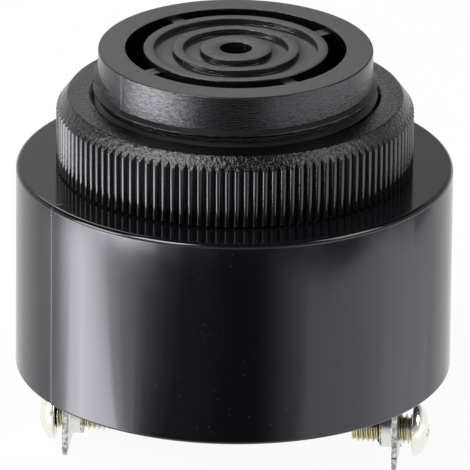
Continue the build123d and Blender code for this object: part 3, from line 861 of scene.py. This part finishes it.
def paper_white(colours):
    """Seamless paper: white to the eye and in reflections, with the object's shadow faintly on it."""
    material, add = new_material("seamless_paper")
    rays = add("ShaderNodeLightPath").outputs
    shown = rays["Is Camera Ray"]
    for kind in ("Is Glossy Ray", "Is Transmission Ray"):
        shown = add("ShaderNodeMath", {0: shown, 1: rays[kind]}, operation="MAXIMUM").outputs[0]
    share = add("ShaderNodeMath", {0: shown, 1: 0.94}, operation="MULTIPLY")
    paper = add("ShaderNodeBsdfDiffuse", {"Color": linear(colours.floor)})
    # The wall above the bend is out of the picture and falls off to grey, a little more to the right
    place = add("ShaderNodeTexCoord").outputs["Object"]
    spot = add("ShaderNodeSeparateXYZ", {"Vector": place}).outputs
    aside = add(
        "ShaderNodeMapRange",
        {"Value": spot["X"], "From Min": -0.49, "From Max": -0.24, "To Min": 0.66, "To Max": 0.44},
    )
    wall = add(
        "ShaderNodeMapRange",
        {"Value": spot["Z"], "From Min": 0.25, "From Max": 1.0, "To Min": 1.0, "To Max": aside.outputs[0]},
    )
    white = add("ShaderNodeEmission", {"Color": (1.0, 1.0, 1.0, 1.0), "Strength": wall.outputs[0]})
    mix = add("ShaderNodeMixShader", {0: share.outputs[0], 1: paper.outputs[0], 2: white.outputs[0]})
    add("ShaderNodeOutputMaterial", {"Surface": mix.outputs[0]})
    return material


def card_glow():
    """Reflection card: its brightness is in the mesh, feathered from edge to edge."""
    material, add = new_material("reflection_card")
    glow = add("ShaderNodeAttribute", attribute_name="glow")
    white = add("ShaderNodeEmission", {"Color": linear("#f8f6ff"), "Strength": glow.outputs["Fac"]})
    add("ShaderNodeOutputMaterial", {"Surface": white.outputs[0]})
    return material


def lay_card(name, ring, stops, body, facing, material):
    """A card on the floor: a ring between two reaches in mm, with stops of (near angle, far angle, glow)."""
    piece = start_piece(name)
    bpy.ops.object.mode_set(mode="OBJECT")
    right = Vector((-facing.y, facing.x, 0))
    above_floor = 0.4 * MM
    points, strengths = [], []
    for near, far, strength in stops:
        for angle, reach in zip((near, far), ring):
            a = math.radians(angle)
            wall = body * (math.cos(a) * facing + math.sin(a) * right)
            away = math.cos(2 * a) * facing + math.sin(2 * a) * right
            points.append((*(wall + reach * MM * away).xy, above_floor))
            strengths.append(strength)
    faces = [(i, i + 1, i + 3, i + 2) for i in range(0, len(points) - 2, 2)]
    piece.data.clear_geometry()
    piece.data.from_pydata(points, [], faces)
    glow = piece.data.attributes.new("glow", "FLOAT", "POINT")
    glow.data.foreach_set("value", strengths)
    piece.data.materials.append(material)
    for rays in ("camera", "diffuse", "shadow", "transmission"):
        setattr(piece, f"visible_{rays}", False)


def lay_paper(colours):
    """The paper cove: a round floor that bends up into a wall, wide enough to lie behind every view."""
    radius, bend, wall, steps = 3.25, 0.75, 2.0, 8
    # The floor lies just under the blades' tips
    level = -0.02 * MM
    bpy.ops.mesh.primitive_circle_add(vertices=128, radius=radius, fill_type="NGON", location=(0, 0, level))
    cove = bpy.context.object
    cove.name = cove.data.name = "paper_cove"
    edit_all()
    angles = [math.radians(90 * i / steps) for i in range(steps + 1)]
    for before, after in zip(angles, angles[1:]):
        wider = (radius + bend * math.sin(after)) / (radius + bend * math.sin(before))
        rise = bend * (math.cos(before) - math.cos(after))
        bpy.ops.mesh.extrude_edges_move(TRANSFORM_OT_translate={"value": (0, 0, rise)})
        bpy.ops.transform.resize(value=(wider, wider, 1), center_override=(0, 0, 0))
    bpy.ops.mesh.extrude_edges_move(TRANSFORM_OT_translate={"value": (0, 0, wall)})
    bpy.ops.object.mode_set(mode="OBJECT")
    cove.data.materials.append(paper_white(colours))


def lay_cards(body, facing):
    """The reflection cards. Each ring is mirrored by one part: the body's wall, the flutes or the neck."""
    body_ring, flute_ring, neck_ring = (12, 75), (75, 92), (92, 260)
    left = [(-62, -62, 1.0), (-53, -53, 2.0), (-48, -48, 8.0), (-44, -44, 10.5), (-28.8, -41, 9.5)]
    left += [(-28.2, -35.5, 4.3), (-27.7, -31.5, 2.7), (-27.2, -26, 1.45)]
    front = [(-27.2, -26, 1.45), (-26.6, -23, 0.8), (-25.8, -20, 0.48), (-24.6, -17, 0.27), (-22, -13, 0.12)]
    front += [(-4, -1, 0.035), (4, 4, 0.03), (8, 8, 0.1), (12.5, 12.5, 0.42), (20, 20, 1.5)]
    right = [(20, 20, 1.5), (45, 45, 2.0), (55, 55, 1.6), (64, 64, 1.0)]
    flutes = [(-64, 0.6), (-52, 1.0), (-44, 2.0), (-40, 6.0), (-36, 18.0), (-24, 18.0)]
    flutes += [(-19, 4.0), (-12, 0.6), (-5, 0.15), (10, 0.08), (40, 0.1), (64, 0.3)]
    neck = [(-64, 1.0), (-54, 2.5), (-48, 10.0), (-42, 12.0), (-30, 10.0), (-26, 6.5)]
    neck += [(-22, 3.4), (-18, 1.6), (-13, 0.4), (-6, 0.06), (0, 0.03), (6, 0.06)]
    neck += [(11, 0.6), (17, 2.1), (24, 3.0), (45, 2.8), (55, 1.8), (64, 1.0)]
    glow = card_glow()
    for name, ring, stops in (
        ("left_softbox_card", body_ring, left),
        ("dark_front_card", body_ring, front),
        ("right_softbox_card", body_ring, right),
        ("flute_card", flute_ring, [(angle, angle, strength) for angle, strength in flutes]),
        ("neck_card", neck_ring, [(angle, angle, strength) for angle, strength in neck]),
    ):
        lay_card(name, ring, stops, body, facing, glow)


def hang_lamps():
    """Soft area lamps, all aimed at the middle of the part."""
    middle = Vector((0, 0, 0.03))
    for name, place, size, power in (
        ("key_lamp", (-0.36, -0.42, 0.6), 0.36, 5.0),
        ("left_lamp", (-0.7, -0.25, 0.35), 0.4, 4.0),
        ("right_lamp", (0.62, -0.13, 0.58), 0.4, 2.4),
        ("back_lamp", (-0.16, 0.72, 0.72), 0.4, 2.2),
    ):
        bpy.ops.object.light_add(type="AREA", location=place)
        lamp = bpy.context.object
        lamp.name = lamp.data.name = name
        lamp.data.size = size
        lamp.data.energy = power
        lamp.rotation_euler = (middle - Vector(place)).to_track_quat("-Z", "Y").to_euler()


def set_camera(shoulder, facing, elevation):
    """The camera: a long lens from afar, rolled by half a degree."""
    distance, roll = 1.02, math.radians(0.55)
    aim = Vector((0.1 * MM, 0, 23.0 * MM))
    bpy.ops.object.camera_add()
    camera = bpy.context.object
    camera.name = camera.data.name = "photo_camera"
    camera.data.lens = 795
    camera.data.sensor_width = 36
    away = math.cos(elevation) * facing + math.sin(elevation) * Vector((0, 0, 1))
    camera.location = Vector((0, 0, shoulder)) + distance * away
    look = (aim - camera.location).to_track_quat("-Z", "Y")
    camera.rotation_euler = (look @ Euler((0, 0, roll)).to_quaternion()).to_euler()
    bpy.context.scene.camera = camera


def set_stage(sizes, colours):
    """White paper cove, reflection cards, soft lamps, a dim surround and the camera."""
    scene = bpy.context.scene
    scene.view_settings.view_transform = "Standard"
    azimuth, elevation = math.radians(5.2), math.radians(21.67)
    facing = Vector((math.sin(azimuth), -math.cos(azimuth), 0))
    lay_paper(colours)
    lay_cards(sizes.body_radius, facing)
    hang_lamps()
    world = bpy.data.worlds.new("dark_ceiling")
    world.use_nodes = True
    world.node_tree.nodes["Background"].inputs["Color"].default_value = linear("#3a3a3e")
    scene.world = world
    set_camera(sizes.shoulder, facing, elevation)


class SOUNDER_OT_housing(bpy.types.Operator):
    """Models the housing with its threaded neck and slotted grille."""

    bl_idname = "sounder.housing"
    bl_label = "Housing"

    def execute(self, context):
        make_housing(context.scene.sounder_housing, context.scene.sounder_finishes)
        return {"FINISHED"}


class SOUNDER_OT_ring_nut(bpy.types.Operator):
    """Models the fluted ring nut."""

    bl_idname = "sounder.ring_nut"
    bl_label = "Ring nut"

    def execute(self, context):
        make_ring_nut(context.scene.sounder_ring_nut, context.scene.sounder_finishes)
        return {"FINISHED"}


class SOUNDER_OT_terminals(bpy.types.Operator):
    """Models the two terminal blades with their collars."""

    bl_idname = "sounder.terminals"
    bl_label = "Terminals"

    def execute(self, context):
        sizes = context.scene.sounder_terminals
        # The tin is dull within 0.6 mm of the tab's edges and 0.25 mm of the collars' ends
        sheared = sizes.blade_width / 2 - 0.6 * MM
        collar_end = sizes.blade_outside - sizes.blade_thickness - sizes.collar_length + 0.25 * MM
        material = tinned_brass(context.scene.sounder_finishes, sheared, collar_end)
        for side in (-1, 1):
            make_terminal(sizes, material, side)
        return {"FINISHED"}


class SOUNDER_OT_screws(bpy.types.Operator):
    """Models the two terminal screws with their threads and cross recesses."""

    bl_idname = "sounder.screws"
    bl_label = "Terminal screws"

    def execute(self, context):
        sizes = context.scene.sounder_terminals
        material = nickel_steel(
            context.scene.sounder_finishes, sizes.screw_level, sizes.screw_root, sizes.screw_radius
        )
        for side in (-1, 1):
            make_screw(sizes, material, side)
        return {"FINISHED"}


class SOUNDER_OT_inner_parts(bpy.types.Operator):
    """Finishes the back cover, the piezo element, the board and its parts."""

    bl_idname = "sounder.inner_parts"
    bl_label = "Inner parts"

    def execute(self, context):
        dress_inner_parts(context.scene.sounder_finishes)
        return {"FINISHED"}


class SOUNDER_OT_stage(bpy.types.Operator):
    """Sets the paper cove, the reflection cards, the lamps and the camera."""

    bl_idname = "sounder.stage"
    bl_label = "Stage"

    def execute(self, context):
        set_stage(context.scene.sounder_housing, context.scene.sounder_finishes)
        return {"FINISHED"}


class SOUNDER_PT_panel(bpy.types.Panel):
    """Lists the steps and sizes of the sounder."""

    bl_idname = "SOUNDER_PT_panel"
    bl_label = "Piezo sounder"
    bl_space_type = "VIEW_3D"
    bl_region_type = "UI"
    bl_category = "Sounder"

    def draw(self, context):
        for operator in OPERATORS:
            self.layout.operator(operator.bl_idname)
        for name in GROUPS:
            group = getattr(context.scene, name)
            box = self.layout.box()
            for key in group.__annotations__:
                box.prop(group, key)


OPERATORS = (
    SOUNDER_OT_housing,
    SOUNDER_OT_ring_nut,
    SOUNDER_OT_terminals,
    SOUNDER_OT_screws,
    SOUNDER_OT_inner_parts,
    SOUNDER_OT_stage,
)
GROUPS = {
    "sounder_housing": HousingSizes,
    "sounder_ring_nut": RingNutSizes,
    "sounder_terminals": TerminalSizes,
    "sounder_finishes": FinishColours,
}
CLASSES = (*GROUPS.values(), *OPERATORS, SOUNDER_PT_panel)


def register():
    for item in CLASSES:
        bpy.utils.register_class(item)
    for name, group in GROUPS.items():
        setattr(bpy.types.Scene, name, PointerProperty(type=group))


def unregister():
    for name in GROUPS:
        delattr(bpy.types.Scene, name)
    for item in reversed(CLASSES):
        bpy.utils.unregister_class(item)


def main():
    register()
    bpy.ops.sounder.housing()
    bpy.ops.sounder.ring_nut()
    bpy.ops.sounder.terminals()
    bpy.ops.sounder.screws()
    bpy.ops.sounder.inner_parts()
    bpy.ops.sounder.stage()


if __name__ == "__main__":
    main()
